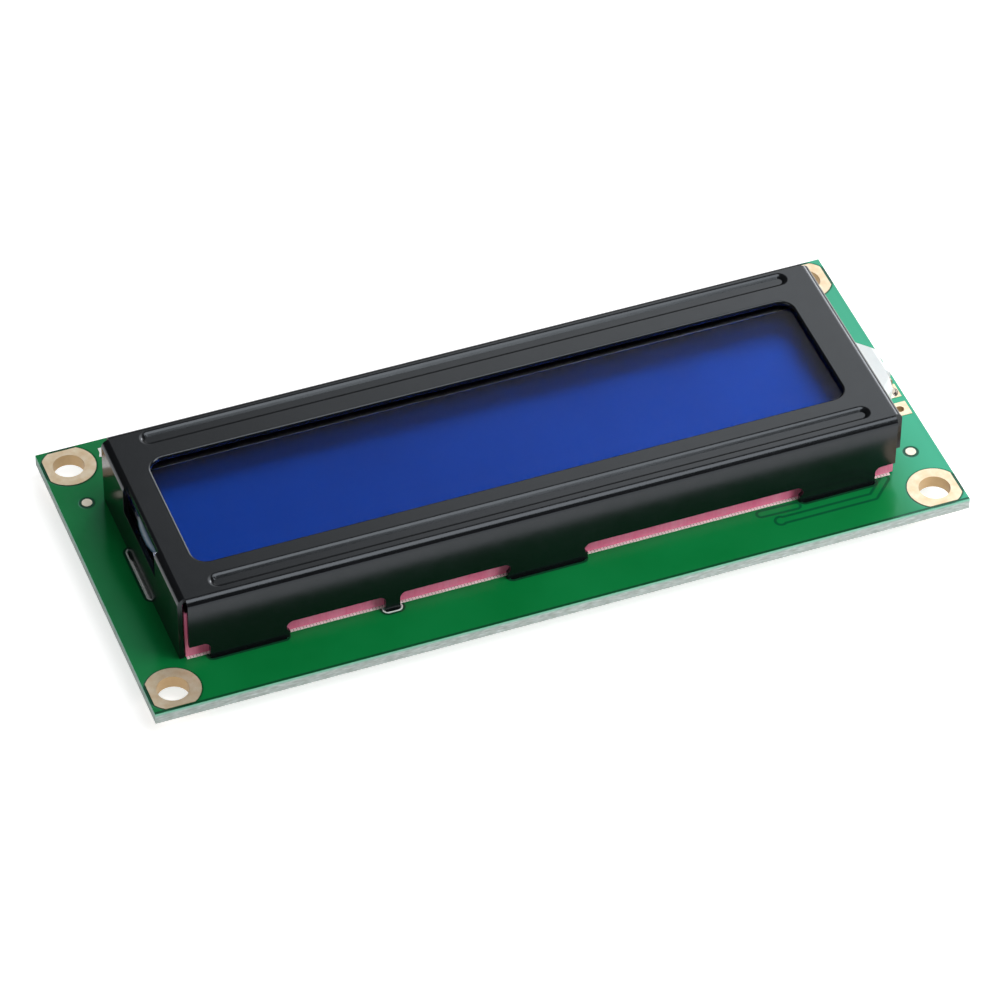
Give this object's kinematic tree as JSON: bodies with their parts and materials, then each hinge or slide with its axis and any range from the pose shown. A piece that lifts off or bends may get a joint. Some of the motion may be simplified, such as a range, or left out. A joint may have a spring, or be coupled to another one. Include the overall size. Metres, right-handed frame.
{
  "type": "character display module",
  "caption": "Flat character display with a green circuit board, a black pressed frame round a blue glass window and a row of header holes along the back edge.",
  "frame": {"origin": "under the centre of the circuit board, on the plane of the lug tips that the module stands on", "axes": "+X along the board towards the lamp end, +Y towards the header row, +Z out of the display"},
  "size_m": [0.08, 0.036, 0.0102],
  "materials": {
    "board_laminate": "glossy green solder mask over pale laminate",
    "gold_plating": "thin gold plating",
    "frame_paint": "satin black paint on pressed steel",
    "display_glass": "clear polished glass",
    "polariser_film": "blue polarising film with a satin surface",
    "seal_glue": "cured glue",
    "plug_resin": "clear bluish resin",
    "strip_rubber": "pink silicone rubber with fine dark layers",
    "guide_plastic": "clear moulded plastic",
    "white_film": "white plastic film",
    "holder_plastic": "white translucent moulded plastic",
    "lamp_resin": "pale yellow lamp resin",
    "tinned_lead": "tinned metal",
    "solder": "shiny solder",
    "blob_resin": "black cast resin",
    "resistor_body": "dark glazed body with tinned ends",
    "capacitor_body": "tan ceramic body with tinned ends"
  },
  "bodies": {
    "root": {"alignment_mark_left": "gold_plating", "alignment_mark_right": "gold_plating", "cell_seal": "seal_glue", "circuit_board": "board_laminate", "contact_fingers_back": "gold_plating", "contact_fingers_front": "gold_plating", "controller_blob": "blob_resin", "diffuser_sheet": "white_film", "driver_blob": "blob_resin", "fill_plug": "plug_resin", "front_polariser": "polariser_film", "header_pad_01": "gold_plating", "header_pad_02": "gold_plating", "header_pad_03": "gold_plating", "header_pad_04": "gold_plating", "header_pad_05": "gold_plating", "header_pad_06": "gold_plating", "header_pad_07": "gold_plating", "header_pad_08": "gold_plating", "header_pad_09": "gold_plating", "header_pad_10": "gold_plating", "header_pad_11": "gold_plating", "header_pad_12": "gold_plating", "header_pad_13": "gold_plating", "header_pad_14": "gold_plating", "header_pad_15": "gold_plating", "header_pad_16": "gold_plating", "ladder_resistor_1": "resistor_body", "ladder_resistor_2": "resistor_body", "ladder_resistor_3": "resistor_body", "ladder_resistor_4": "resistor_body", "ladder_resistor_5": "resistor_body", "lamp": "lamp_resin", "lamp_holder": "holder_plastic", "lamp_lead_1": "tinned_lead", "lamp_lead_2": "tinned_lead", "lamp_pad_1": "gold_plating", "lamp_pad_2": "gold_plating", "lamp_resistor": "resistor_body", "lamp_solder_1": "solder", "lamp_solder_2": "solder", "light_guide": "guide_plastic", "lower_glass": "display_glass", "metal_frame": "frame_paint", "mount_ring_1": "gold_plating", "mount_ring_2": "gold_plating", "mount_ring_3": "gold_plating", "mount_ring_4": "gold_plating", "oscillator_resistor": "resistor_body", "rear_polariser": "polariser_film", "reflector_sheet": "white_film", "rubber_strip_back": "strip_rubber", "rubber_strip_front": "strip_rubber", "spare_pad": "gold_plating", "supply_capacitor": "capacitor_body", "upper_glass": "display_glass"}
  },
  "joints": []
}
